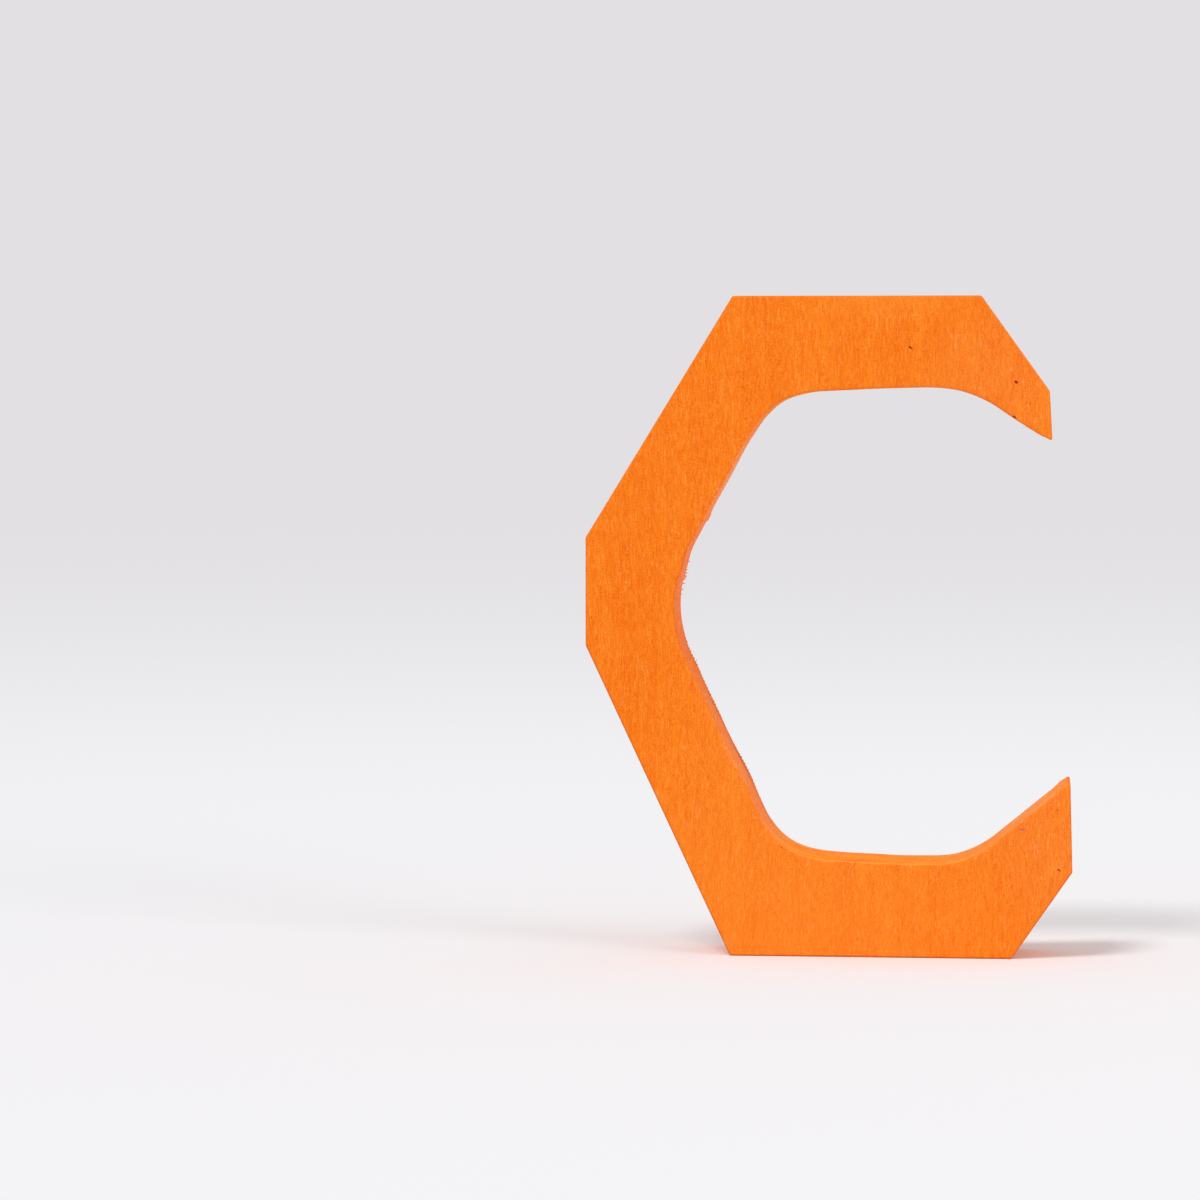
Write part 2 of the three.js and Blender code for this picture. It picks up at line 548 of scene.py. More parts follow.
def sawLines(tree, endGrain):
    s = sawnSettings
    place = addTimes(tree, readAttribute(tree, "along"), readAttribute(tree, "across"), s["lineSlant"])
    lines = lineNoise(tree, place, s["lineRepeat"], s["lineDetail"])
    return times(tree, lines, remap(tree, endGrain, (0.0, 1.0), (1.0, s["endLines"])))


def wipedStreaks(tree):
    sides = {0: readAttribute(tree, "along"), 1: readAttribute(tree, "across")}
    place = addNode(tree, "ShaderNodeCombineXYZ", sides).outputs[0]
    return noiseSwing(tree, vectorCalc(tree, "MULTIPLY", place, sawnSettings["wipeRepeat"]), detail=2)


def sawnColour(tree, looks, lines, endGrain, point):
    s = sawnSettings
    tone = addTimes(tree, 0.5, looks["Tone"], s["toneSwing"])
    sideTone = addTimes(tree, tone, lines, s["lineSwing"])
    endTone = addTimes(tree, tone, wipedStreaks(tree), s["wipeSwing"])
    side = mixColour(tree, sideTone, s["sideDeep"], s["sideLight"])
    end = mixColour(tree, endTone, s["endDeep"], s["endLight"])
    colour = mixColour(tree, remap(tree, endGrain, s["endRange"]), side, end)
    # paler patches: partly less stain, partly a painted reflection of the backdrop
    colour = layOver(tree, colour, readAttribute(tree, "pale"), s["paleStrength"], s["pale"])
    blotches = noiseAt(tree, point, s["blotchRepeat"], detail=3, roughness=0.6)[0]
    blotches = remap(tree, blotches, s["blotchRange"], smooth=True)
    return layOver(tree, colour, blotches, s["blotchStrength"], s["blotch"])


# Painted shade on edges that turn away from the light, broken up by the saw lines
def addPaintedShadeLines(tree, colour, lines):
    s = sawnSettings
    uneven = addTimes(tree, readAttribute(tree, "darkLine"), lines, s["darkBreak"])
    return mixColour(tree, remap(tree, uneven, s["darkRange"]), colour, s["darkLine"])


def woodShader(tree, colour, roughness, height):
    s = stainSettings
    bump = addNode(tree, "ShaderNodeBump", {"Strength": 1.0, "Distance": s["grainDepth"], "Height": height})
    shader = addNode(tree, "ShaderNodeBsdfPrincipled", {
        "Base Color": colour, "Roughness": roughness, "Normal": bump.outputs[0],
        "Specular IOR Level": s["specular"], "Sheen Weight": s["sheen"],
        "Sheen Roughness": s["sheenRoughness"]})
    addNode(tree, "ShaderNodeOutputMaterial", {"Surface": shader.outputs[0]})


def makeStainedWood(grain):
    s, w = stainSettings, sawnSettings
    material, tree = newMaterial("stainedWood")
    point = millimetres(tree)
    endGrain = readAttribute(tree, "endGrain")
    specks = vectorCalc(tree, "MULTIPLY", point, w["speckRepeat"])
    specks = noiseSwing(tree, specks, detail=3, roughness=0.6)
    sawn = addTimes(tree, readAttribute(tree, "sawn"), specks, w["ragged"])
    sawn = remap(tree, sawn, w["sawnRange"], smooth=True)
    ringsLeft = calc(tree, "SUBTRACT", 1.0, times(tree, sawn, w["ringsLost"]))
    rings = addTimes(tree, s["rings"], times(tree, endGrain, ringsLeft), s["endRings"])
    looks = useGrain(tree, grain, point, s["fine"], s["bands"], rings)
    lines = sawLines(tree, endGrain)

    planed = addMarks(tree, planedColour(tree, looks, endGrain), looks, point)
    colour = mixColour(tree, sawn, planed, sawnColour(tree, looks, lines, endGrain, point))
    # painted shade on edges turned away from the light
    colour = addPaintedShadeLines(tree, colour, lines)
    smooth = addTimes(tree, s["roughness"], looks["Tone"], -s["roughnessSwing"])
    roughness = mixValue(tree, sawn, smooth, w["roughness"])
    rough = addTimes(tree, times(tree, specks, w["speckHeight"]), lines, w["lineHeight"])
    woodShader(tree, colour, roughness, addTimes(tree, looks["Height"], rough, sawn))
    return material


# Board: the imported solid's outline with true arcs in its bends, eased edges and a finely divided inner wall

boardSettings = {
    "node": "letter_c",
    "weld": 0.001 * mm,
    "leastTurn": 0.3,  # degrees, below which two outline edges are one
    "shortestCut": 3 * mm,  # a longer outline edge is a straight cut, and the rest are bends
    "innerStep": 0.14 * mm,
    "outerStep": 0.36 * mm,
    "bendSteps": 6,  # least number of steps round a bend
    "tipTurn": 100,  # degrees, a sharper corner is the pointed end of an arm
    "tipRadius": 0.3 * mm,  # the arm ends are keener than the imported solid's
    "tipFade": 1.6 * mm,  # the saw marks fade out this far from the pointed ends
    "tipSpread": 0.45,  # how fast a pointed end widens
    "arris": 0.36 * mm,
    "arrisVariation": 0.05 * mm,
    "arrisSway": 3 * mm,
    "arrisSeeds": (0.0, 40.0),  # front and back edges sway apart
    "arrisRoom": 0.78,  # share of a pointed end that an eased edge may take
    "arrisSteps": 4,
    "innerUneven": 3.0,  # the inner edges are eased this much less evenly
    "wallRows": 14,
    "faceMargin": 0.25 * mm,  # flat strip along each eased edge
    "marginRoom": 0.16,
    "faceGrid": 1.3 * mm,
    "gridClear": 0.6,  # share of the grid's step that its points keep from the edge
}


def nextOf(items):
    return items[1:] + items[:1]


def directionOf(cut):
    return (cut[1] - cut[0]).normalized()


def outwardOf(direction):
    return Vector((direction.y, -direction.x))


def turned(vector, angle):
    c, s = math.cos(angle), math.sin(angle)
    return Vector((c * vector.x - s * vector.y, s * vector.x + c * vector.y))


def readOutline(node):
    b = boardSettings
    cut = bmesh.new()
    cut.from_mesh(node.data)
    bmesh.ops.remove_doubles(cut, verts=cut.verts, dist=b["weld"])
    everything = cut.verts[:] + cut.edges[:] + cut.faces[:]
    bmesh.ops.bisect_plane(
        cut, geom=everything, dist=b["weld"], plane_co=(0, 0, 0), plane_no=(0, 1, 0),
        clear_inner=True, clear_outer=True)
    first = cut.verts[:][0]
    walked = [first]
    edge = first.link_edges[0]
    vert = edge.other_vert(first)
    while vert is not first:
        walked.append(vert)
        edge = next(e for e in vert.link_edges if e is not edge)
        vert = edge.other_vert(vert)
    loop = [Vector((v.co.x, v.co.z)) for v in walked]
    cut.free()
    if sum(here.cross(after) for here, after in zip(loop, nextOf(loop))) < 0:
        loop.reverse()
    return [
        here for before, here, after in zip(loop[-1:] + loop[:-1], loop, nextOf(loop))
        if (here - before).angle(after - here) > math.radians(b["leastTurn"])]


def sharpenTips(cuts, bends, tips):
    for k in tips:
        after = (k + 1) % len(cuts)
        (start, _), (onward, end) = cuts[k], cuts[after]
        first, second = directionOf(cuts[k]), directionOf(cuts[after])
        corner = start + first * ((onward - start).cross(second) / first.cross(second))
        tangent = boardSettings["tipRadius"] * math.tan(bends[k] / 2)
        cuts[k] = (start, corner - first * tangent)
        cuts[after] = (corner + second * tangent, end)


def layColumns(loop):
    b = boardSettings
    cuts = [(p, q) for p, q in zip(loop, nextOf(loop)) if (q - p).length > b["shortestCut"]]
    turns = [(directionOf(cut), directionOf(after)) for cut, after in zip(cuts, nextOf(cuts))]
    bends = [math.atan2(first.cross(second), first.dot(second)) for first, second in turns]
    tips = [k for k, bend in enumerate(bends) if bend > math.radians(b["tipTurn"])]
    sharpenTips(cuts, bends, tips)
    inside = [tips[0] < k <= tips[1] for k in range(len(cuts))]
    if min(bend for bend, flag in zip(bends, inside) if flag) > 0:  # only the inner side has hollow bends
        inside = [not flag for flag in inside]

    columns = {"at": [], "out": [], "inner": [], "room": []}

    def add(at, out, inner, room=math.inf):
        columns["at"].append(at)
        columns["out"].append(out)
        columns["inner"].append(float(inner))
        columns["room"].append(room)

    for (p, q), (onward, _), bend, inner in zip(cuts, nextOf(cuts), bends, inside):
        step = b["innerStep"] if inner else b["outerStep"]
        out = outwardOf(directionOf((p, q)))
        count = math.ceil((q - p).length / step)
        for n in range(count):
            add(p.lerp(q, n / count), out, inner)
        radius = (onward - q).length / (2 * math.sin(abs(bend) / 2))
        side = math.copysign(1, bend)
        centre = q - out * radius * side
        count = max(b["bendSteps"], math.ceil(radius * abs(bend) / step))
        for n in range(count):
            swung = turned(out, bend * n / count)
            room = radius if bend > 0 else math.inf
            add(centre + swung * radius * side, swung, inner and bend < 0, room)
    return columns


def gapsAlong(lengths, others):
    gaps = numpy.abs(lengths[:, None] - others[None, :])
    return numpy.minimum(gaps, lengths[-1] - gaps)


def fadeAtTips(columns, lengths):
    inner = numpy.array(columns["inner"])
    nearest = gapsAlong(lengths, lengths[inner == 0]).min(axis=1)
    share = numpy.clip(nearest / boardSettings["tipFade"], 0, 1)
    return inner * share * share * (3 - 2 * share)


def roomForEdges(columns, lengths):
    room = numpy.array(columns["room"])
    room = numpy.minimum(room, numpy.roll(room, 1))  # the end of a bend counts as part of it
    convex = numpy.isfinite(room)
    gaps = gapsAlong(lengths, lengths[convex])
    return (room[convex][None, :] + boardSettings["tipSpread"] * gaps).min(axis=1)


def easeEdges(lengths, inner, room):
    b = boardSettings
    uneven = b["arrisVariation"] * (1 + b["innerUneven"] * inner)
    eased = []
    for seed in b["arrisSeeds"]:
        sway = numpy.array([noise.noise(Vector((u / b["arrisSway"], seed, 0.5))) for u in lengths])
        eased.append(numpy.minimum(b["arris"] + uneven * sway, b["arrisRoom"] * room))
    margin = numpy.minimum(b["faceMargin"], b["marginRoom"] * room)
    return eased[0], eased[1], margin


# Rows from the front face over its eased edge, the wall and the back's edge: how far in and how deep each
# row lies at every column, and its share of the wall

def layRows(front, back, margin, half):
    b = boardSettings
    flat = numpy.zeros(len(front))
    quarter = [k / b["arrisSteps"] * math.pi / 2 for k in range(b["arrisSteps"] + 1)]
    rows = [(front + margin, flat - half, 0.0)]
    for angle in quarter:
        inset, depth = front * (1 - math.sin(angle)), front * (1 - math.cos(angle)) - half
        rows.append((inset, depth, angle / (math.pi / 2)))
    for k in range(1, b["wallRows"]):
        share = k / b["wallRows"]
        rows.append((flat, (1 - share) * (front - half) + share * (half - back), 1.0))
    for angle in reversed(quarter):
        inset, depth = back * (1 - math.sin(angle)), half - back * (1 - math.cos(angle))
        rows.append((inset, depth, angle / (math.pi / 2)))
    rows.append((back + margin, flat + half, 0.0))
    inset, depth, wall = zip(*rows)
    return numpy.array(inset).T, numpy.array(depth).T, numpy.array(wall)


def insideLoop(points, loop):
    x, z = points[:, 0][:, None], points[:, 1][:, None]
    ax, az = loop[:, 0][None, :], loop[:, 1][None, :]
    bx, bz = numpy.roll(ax, -1), numpy.roll(az, -1)
    spans = (az > z) != (bz > z)
    crossing = ax + (z - az) * (bx - ax) / numpy.where(bz == az, 1e-12, bz - az)
    return (spans & (x < crossing)).sum(axis=1) % 2 == 1


def faceGrid(ring):
    step = boardSettings["faceGrid"]
    low, high = ring.min(axis=0), ring.max(axis=0)
    rows = numpy.arange(low[1], high[1], step * math.sqrt(0.75))  # even triangles
    points = numpy.array([
        (x + (row % 2) * step / 2, z)
        for row, z in enumerate(rows)
        for x in numpy.arange(low[0], high[0], step)])
    points = points[insideLoop(points, ring)]
    tree = kdtree.KDTree(len(ring))
    for k, (x, z) in enumerate(ring):
        tree.insert((x, 0, z), k)
    tree.balance()
    clear = step * boardSettings["gridClear"]
    return [(x, z) for x, z in points if tree.find((x, 0, z))[2] > clear]


def closeFace(ring, ringIndexes, y, vertices, faces, towardsBack):
    extra = faceGrid(ring)
    known = list(ringIndexes) + list(range(len(vertices), len(vertices) + len(extra)))
    vertices.extend((x, y, z) for x, z in extra)
    flat = [Vector(p) for p in ring] + [Vector(p) for p in extra]
    made = delaunay_2d_cdt(flat, [], [list(range(len(ring)))], 1, 1e-9)  # 1 keeps what is inside the ring
    for triangle in made[2]:
        corner = [known[made[3][k][0]] for k in triangle]
        faces.append(corner[::-1] if towardsBack else corner)


def sweepBoard(at, out, inset, depth, middle, half):
    count, rows = inset.shape
    vertices, faces = [], []
    for k in range(count):
        for r in range(rows):
            x, z = at[k] - out[k] * inset[k, r]
            vertices.append((x, middle + depth[k, r], z))
    for k in range(count):
        here, onward = k * rows, (k + 1) % count * rows
        for r in range(rows - 1):
            faces.append((here + r, here + r + 1, onward + r + 1, onward + r))
    for r, y, towardsBack in ((0, middle - half, False), (rows - 1, middle + half, True)):
        indexes = range(r, count * rows, rows)
        ring = numpy.array([(vertices[k][0], vertices[k][2]) for k in indexes])
        closeFace(ring, indexes, y, vertices, faces, towardsBack)
    return vertices, faces


# Where the inner cut strays from its line: place across and up, how far out and over what length, in
# millimetres
strays = [
    {"at": (32.0, 89.0), "rise": 0.28, "reach": 6.0},
    {"at": (25.0, 93.0), "rise": 0.08, "reach": 3.0},
    {"at": (17.5, 94.7), "rise": 0.16, "reach": 5.5},
    {"at": (-8.2, 92.5), "rise": -0.22, "reach": 2.6},
    {"at": (-12.8, 87.4), "rise": 0.24, "reach": 2.2},
    {"at": (-17.0, 80.2), "rise": 0.14, "reach": 4.5},
    {"at": (-20.7, 72.9), "rise": 0.24, "reach": 0.8},
    {"at": (-22.3, 69.5), "rise": 0.1, "reach": 2.5},
    {"at": (-24.3, 64.5), "rise": 0.3, "reach": 2.6},
    {"at": (-22.7, 47.5), "rise": 0.17, "reach": 2.6},
    {"at": (-13.8, 29.3), "rise": 0.2, "reach": 3.6},
    {"at": (-2.0, 16.5), "rise": 0.18, "reach": 3.0},
    {"at": (16.6, 15.7), "rise": 0.18, "reach": 3.0},
    {"at": (38.6, 29.2), "rise": 0.22, "reach": 1.6},
]

# Where it tore the back edge: torn teeth and frayed fibres
tears = [
    {"at": (-24.8, 62.8), "reach": 1.9, "teeth": 0.4, "fray": 1.0},
    {"at": (-23.4, 49.2), "reach": 4.0, "teeth": 1.0, "fray": 0.1},
    {"at": (-21.1, 72.4), "reach": 0.6, "teeth": 0.9, "fray": 0.1},
    {"at": (-20.0, 42.0), "reach": 4.5, "teeth": 0.8, "fray": 0.0},
    {"at": (-14.2, 31.0), "reach": 4.0, "teeth": 0.8, "fray": 0.05},
]

# Painted shade along the back edge and along the front edge of the inner cut, where they turn from the light
backShades = [
    {"at": (-15.0, 31.5), "reach": 6.5, "dark": 0.68},
    {"at": (-19.5, 41.0), "reach": 8.0, "dark": 0.48},
    {"at": (-22.5, 47.5), "reach": 5.0, "dark": 0.36},
    {"at": (-10.0, 22.5), "reach": 5.0, "dark": 0.3},
    {"at": (-23.0, 68.0), "reach": 4.0, "dark": 0.24},
]
frontShades = [
    {"at": (-17.5, 80.0), "reach": 7.0, "dark": 0.3},
    {"at": (-24.0, 64.0), "reach": 7.0, "dark": 0.55},
    {"at": (-24.5, 54.0), "reach": 6.0, "dark": 0.45},
    {"at": (-9.5, 91.5), "reach": 5.0, "dark": 0.32},
    {"at": (2.0, 94.0), "reach": 7.0, "dark": 0.25},
]

# Where the face's stain ran over the front of the sawn wall, and where the saw broke out over the face
soakedWalls = [
    {"at": (-17.5, 80.0), "reach": 10.0, "soaked": 0.6},
    {"at": (-24.5, 60.0), "reach": 12.0, "soaked": 1.1},
    {"at": (-20.5, 44.0), "reach": 8.0, "soaked": 0.75},
]
brokenEdges = [
    {"at": (-15.5, 34.0), "reach": 7.0, "broken": 0.26},
    {"at": (-11.0, 25.0), "reach": 5.0, "broken": 0.16},
    {"at": (-20.5, 45.0), "reach": 6.0, "broken": 0.3},
    {"at": (-24.5, 58.0), "reach": 8.0, "broken": 0.08},
]

# Where the sawn wall is painted paler and pinker: partly stain that took less, partly a painted reflection of
# the bright backdrop at a grazing angle
paleWalls = [
    {"at": (-17.5, 80.0), "reach": 8.0, "pale": 1.5},
    {"at": (-24.2, 64.0), "reach": 5.0, "pale": 0.6},
    {"at": (-19.2, 41.0), "reach": 5.0, "pale": 0.35},
    {"at": (-14.6, 32.0), "reach": 6.0, "pale": 0.5},
    {"at": (-9.5, 22.0), "reach": 5.0, "pale": 0.5},
    {"at": (34.0, 25.0), "reach": 8.0, "pale": 0.95},
    {"at": (23.0, 18.0), "reach": 6.0, "pale": 0.35},
]

# Where lint and dust cling to the front face
dusty = [
    {"at": (21.3, 102.8), "reach": 2.6, "much": 6.0},
    {"at": (31.0, 98.0), "reach": 2.0, "much": 3.0},
    {"at": (13.0, 106.6), "reach": 3.0, "much": 2.0},
    {"at": (-33.0, 68.5), "reach": 5.0, "much": 2.5},
    {"at": (36.0, 22.0), "reach": 3.0, "much": 2.0},
    {"at": (-20.0, 26.0), "reach": 4.0, "much": 1.5},
]

# How the stain and the painted shade, highlight and reflection lie over the depth of the walls, where -1
# is the front face and 1 the back: each pair is where an effect starts and where it is full
wallLook = {
    "torn": (0.72, 0.92),
    "soaked": (0.75, -0.8),
    "backShade": (0.25, 0.65),
    "backEdgeShade": (0.7, 0.95),
    "backEdgeShadeDark": 0.55,
    "frontShade": (-0.1, -0.8),
    "frontShadeReach": 0.55,  # how far the painted front shade runs on into the sawn wall
    "shaded": (0.6, -0.4),  # painted shade on outer edges that face sideways or down, by how far they face up
    "outerEdgeShadeDark": 0.6,
    "rim": (0.5, 0.95),  # painted reflection on the back of the sawn wall where it faces up
    "rimPale": 0.8,
    "spill": 0.12,  # how far the sawn look breaks out over the face
    "rubbed": 0.15,  # real wear on every edge, besides the painted highlight on the inner edges that face up
    "rubbedAndLitUpward": 6,  # painted highlight: the higher, the more squarely an edge faces up
    "arrisWidth": 3,  # the higher, the narrower the worn or darkened edge
}


def bellSum(at, spots, key, biggest=False):
    total = numpy.zeros(len(at))
    for spot in spots:
        gap = numpy.linalg.norm(at - numpy.array(spot["at"]) * mm, axis=1) / (spot["reach"] * mm)
        bell = spot[key] * numpy.exp(-gap * gap)
        total = numpy.maximum(total, bell) if biggest else total + bell
    return total


def ramp(values, ends):
    start, end = ends
    return numpy.clip((values - start) / (end - start), 0, 1)


def shapeMasks(blank):
    at, inner, wall, outward = blank["at"], blank["inner"], blank["wall"], blank["outward"]
    spread = blank["spread"]
    torn = ramp(blank["deep"], wallLook["torn"]) * wall
    lint = bellSum(blank["flat"], dusty, "much") * blank["inFront"]
    return {
        "along": spread(blank["lengths"]),
        "across": blank["across"],
        "wall": wall,
        "inner": spread(inner),
        "endGrain": wall * numpy.abs(outward[:, 2]),
        "stray": spread(bellSum(at, strays, "rise") * mm * inner),
        "teeth": spread(bellSum(at, tears, "teeth", True) * (inner > 0)) * torn,
        "frayed": spread(bellSum(at, tears, "fray", True) * (inner > 0)) * torn,
        "fuzzy": wall * spread(inner) * outward[:, 0] ** 2,
        "linty": (1 - wall) * (1 + lint),
    }


def stainMasks(blank):
    look = wallLook
    at, inner, wall, deep = blank["at"], blank["inner"], blank["wall"], blank["deep"]
    sideways, upward = blank["outward"][:, 0], blank["outward"][:, 2]
    spread = blank["spread"]
    onArris = (wall * (1 - wall) * 4) ** look["arrisWidth"]
    # wear on every edge, and a painted highlight on inner edges that face up
    facingUp = ramp(upward, (0, 1))
    rubbed = look["rubbed"] + facingUp ** look["rubbedAndLitUpward"] * spread(inner)
    # painted reflection on the upward back of the sawn wall
    rim = ramp(deep, look["rim"]) * facingUp ** 2
    spill = look["spill"] + spread(bellSum(at, brokenEdges, "broken", True))
    dry = 1 - spread(bellSum(at, soakedWalls, "soaked", True)) * ramp(deep, look["soaked"])
    # painted shade along the back edge of the inner wall, which turns away from the light
    backShade = spread(bellSum(at, backShades, "dark", True) * inner) * ramp(deep, look["backShade"]) * wall
    backEdgeShade = look["backEdgeShadeDark"] * ramp(deep, look["backEdgeShade"]) * wall * sideways ** 2 * spread(inner)
    # painted shade along the front edge of the inner cut
    nearFront = look["frontShadeReach"] * ramp(deep, look["frontShade"]) * wall
    nearFront = numpy.maximum(onArris * (deep < 0), nearFront)
    frontShade = spread(bellSum(at, frontShades, "dark", True) * inner) * nearFront
    # painted shade on outer edges that face sideways or down, away from the light from above
    outerEdgeShade = look["outerEdgeShadeDark"] * onArris * ramp(upward, look["shaded"]) * spread(inner == 0)
    return {
        "rubbed": onArris * rubbed,
        "pale": spread(bellSum(at, paleWalls, "pale")) + look["rimPale"] * rim,
        "sawn": (spill + (1 - spill) * wall ** 2 * dry) * spread(inner > 0),
        # painted shade on the back edge, the front edge and the outer edges
        "darkLine": numpy.maximum(backShade, backEdgeShade) + frontShade + outerEdgeShade,
    }


def makeBlank():
    b = boardSettings
    columns = layColumns(readOutline(bpy.data.objects[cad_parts[b["node"]].name]))
    at = numpy.array([tuple(p) for p in columns["at"]])
    out = numpy.array([tuple(p) for p in columns["out"]])
    steps = numpy.linalg.norm(numpy.roll(at, -1, axis=0) - at, axis=1)
    lengths = numpy.concatenate([[0], numpy.cumsum(steps)])[:-1]
    inner = fadeAtTips(columns, lengths)

    low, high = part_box(b["node"])
    middle, half = (low.y + high.y) / 2, (high.y - low.y) / 2
    front, back, margin = easeEdges(lengths, inner, roomForEdges(columns, lengths))
    inset, depth, wall = layRows(front, back, margin, half)
    vertices, faces = sweepBoard(at, out, inset, depth, middle, half)
    count, rows = inset.shape
    places = numpy.array(vertices)

    def widen(values):  # the face's own points get none
        return numpy.concatenate([values, numpy.zeros(len(vertices) - count * rows)])

    def spread(values):
        return widen(numpy.repeat(values, rows))

    across = widen(depth.ravel())
    outward = numpy.stack([spread(out[:, 0]), spread(0 * lengths), spread(out[:, 1])], axis=1)
    blank = {
        "at": at, "lengths": lengths, "inner": inner, "spread": spread, "outward": outward,
        "across": across, "deep": across / half, "wall": widen(numpy.tile(wall, count)),
        "flat": places[:, [0, 2]], "inFront": places[:, 1] < middle,
    }
    mesh = bpy.data.meshes.new("letterBoard")
    mesh.from_pydata(vertices, [], faces)
    mesh.polygons.foreach_set("use_smooth", [True] * len(faces))
    for name, values in {**shapeMasks(blank), **stainMasks(blank)}.items():
        mesh.attributes.new(name, "FLOAT", "POINT").data.foreach_set("value", values)
    mesh.attributes.new("outward", "FLOAT_VECTOR", "POINT").data.foreach_set("vector", outward.ravel())
    mesh.update()
    print(f"board blank: {count} columns, {rows} rows, {len(faces)} faces")
    return mesh


# Saw marks: ridges across the inner wall, a slow wander of the cut, torn teeth on the back edge

sawSettings = {
    "Kerf Pitch": 0.95 * mm,
    "Kerf Depth": 0.045 * mm,
    "Kerf Slant": 0.03,
    "Wander": 0.1 * mm,
    "Wander Length": 9 * mm,
    "Tooth Pitch": 0.62 * mm,
    "Tooth Height": 0.24 * mm,
    "Roughness": 0.05 * mm,
    "Outer Roughness": 0.012 * mm,
}
sawShape = {
    "unevenRepeat": 400.0,  # for each metre along the cut
    "swellRepeat": 90.0,
    "swellLevel": 0.7,  # the ridges rise and fall round this share of their depth
    "swellReach": 1.6,
    "endGrainLoss": 0.75,  # share of the ridges lost where the cut crosses the fibre
    "toothCurve": 2.0,  # each tooth rises slowly and drops at once
    "roughRepeat": 2200.0,
}


def geometryAttribute(tree, name, kind="FLOAT"):
    return addNode(tree, "GeometryNodeInputNamedAttribute", {"Name": name}, data_type=kind).outputs[0]


def endTree(tree, shape, material, result):
    whole = addNode(tree, "GeometryNodeRealizeInstances", {"Geometry": shape})
    finished = addNode(tree, "GeometryNodeSetMaterial", {
        "Geometry": whole.outputs[0], "Material": material})
    tree.links.new(finished.outputs[0], result[0])


def kerfRidges(tree, given, along):
    shape = sawShape
    leaning = addTimes(tree, along, geometryAttribute(tree, "across"), given["Kerf Slant"])
    uneven = lineNoise(tree, along, shape["unevenRepeat"])
    phase = calc(tree, "ADD", calc(tree, "DIVIDE", leaning, given["Kerf Pitch"]), uneven)
    ridge = times(tree, calc(tree, "PINGPONG", phase, 0.5), given["Kerf Depth"])
    swell = lineNoise(tree, along, shape["swellRepeat"], detail=1)
    return times(tree, ridge, addTimes(tree, shape["swellLevel"], swell, shape["swellReach"]))


def tornTeeth(tree, given, along):
    tooth = calc(tree, "FRACT", calc(tree, "DIVIDE", along, given["Tooth Pitch"]))
    tooth = times(tree, calc(tree, "POWER", tooth, sawShape["toothCurve"]), given["Tooth Height"])
    return times(tree, tooth, geometryAttribute(tree, "teeth"))


def makeSawTree(stained):
    sizes = {name: "NodeSocketFloat" for name in sawSettings}
    tree, given, result = newTree(
        "sawMarks", "GeometryNodeTree",
        {"Board": "NodeSocketGeometry", **sizes}, {"Board": "NodeSocketGeometry"})
    along = geometryAttribute(tree, "along")
    inner = geometryAttribute(tree, "inner")
    coarse = addTimes(tree, 1.0, geometryAttribute(tree, "endGrain"), -sawShape["endGrainLoss"])
    coarse = times(tree, coarse, geometryAttribute(tree, "wall"))

    move = times(tree, kerfRidges(tree, given, along), coarse)
    wander = lineNoise(tree, calc(tree, "DIVIDE", along, given["Wander Length"]), detail=1)
    move = times(tree, addTimes(tree, move, wander, given["Wander"]), inner)
    move = calc(tree, "ADD", move, tornTeeth(tree, given, along))
    move = calc(tree, "ADD", move, geometryAttribute(tree, "stray"))
    place = addNode(tree, "GeometryNodeInputPosition").outputs[0]
    rough = noiseSwing(tree, place, sawShape["roughRepeat"], detail=2)
    rough = times(tree, rough, mixValue(tree, inner, given["Outer Roughness"], given["Roughness"]))
    move = addTimes(tree, move, rough, coarse)

    outward = geometryAttribute(tree, "outward", "FLOAT_VECTOR")
    moved = addNode(tree, "GeometryNodeSetPosition", {
        "Geometry": given["Board"], "Offset": scaled(tree, outward, move)})
    endTree(tree, moved.outputs[0], stained, result)
    return tree


# Fibres on a surface: short tapered hairs, each bent its own way. Torn ones keep the stain, and dust and
# lint on the faces are paler. Lengths are in millimetres, and the density is for each square millimetre

fibreKinds = {
    "sawFuzz": {
        "Where": "fuzzy", "Density": 0.3, "Seed": 3, "Shortest": 0.08, "Longest": 0.22,
        "Thickness": 0.03, "Standing": 0.4, "Curl": 0.08, "Flatten": (1, 1, 1), "look": "liftedFibre",
    },
    "tornFibres": {
        "Where": "frayed", "Density": 5.0, "Seed": 8, "Shortest": 0.2, "Longest": 0.55,
        "Thickness": 0.05, "Standing": 1.4, "Curl": 0.15, "Flatten": (1, 1, 1), "look": "liftedFibre",
    },
    "faceLint": {
        "Where": "linty", "Density": 0.012, "Seed": 21, "Shortest": 0.25, "Longest": 0.95,
        "Thickness": 0.03, "Standing": 0.0, "Curl": 1.1, "Flatten": (1, 0, 1), "look": "paleLint",
    },
}
fibreLooks = {
    "liftedFibre": {"deep": tint(244, 122, 52), "light": tint(255, 160, 98)},
    "paleLint": {"deep": tint(252, 156, 66), "light": tint(255, 198, 122)},
}
fibreShape = {
    "sides": 4,
    "steps": 6,
    "bendRepeat": 900.0,  # for each metre
    "taperFrom": 0.3,  # share of the length at which a hair starts to thin
    "tipShare": 0.35,
    "fine": 1.0,
    "bands": 0.6,
    "rings": 0.2,
    "toneRange": (-0.3, 0.3),
    "roughness": (0.9, 0.7),
}


def makeFibreMaterial(name, grain):
    look, shape = fibreLooks[name], fibreShape
    material, tree = newMaterial(name)
    looks = useGrain(tree, grain, millimetres(tree), shape["fine"], shape["bands"], shape["rings"])
    colour = mixColour(tree, calc(tree, "ADD", looks["Tone"], 0.5), look["deep"], look["light"])
    roughness = remap(tree, looks["Tone"], shape["toneRange"], shape["roughness"])
    woodShader(tree, colour, roughness, looks["Height"])
    return material


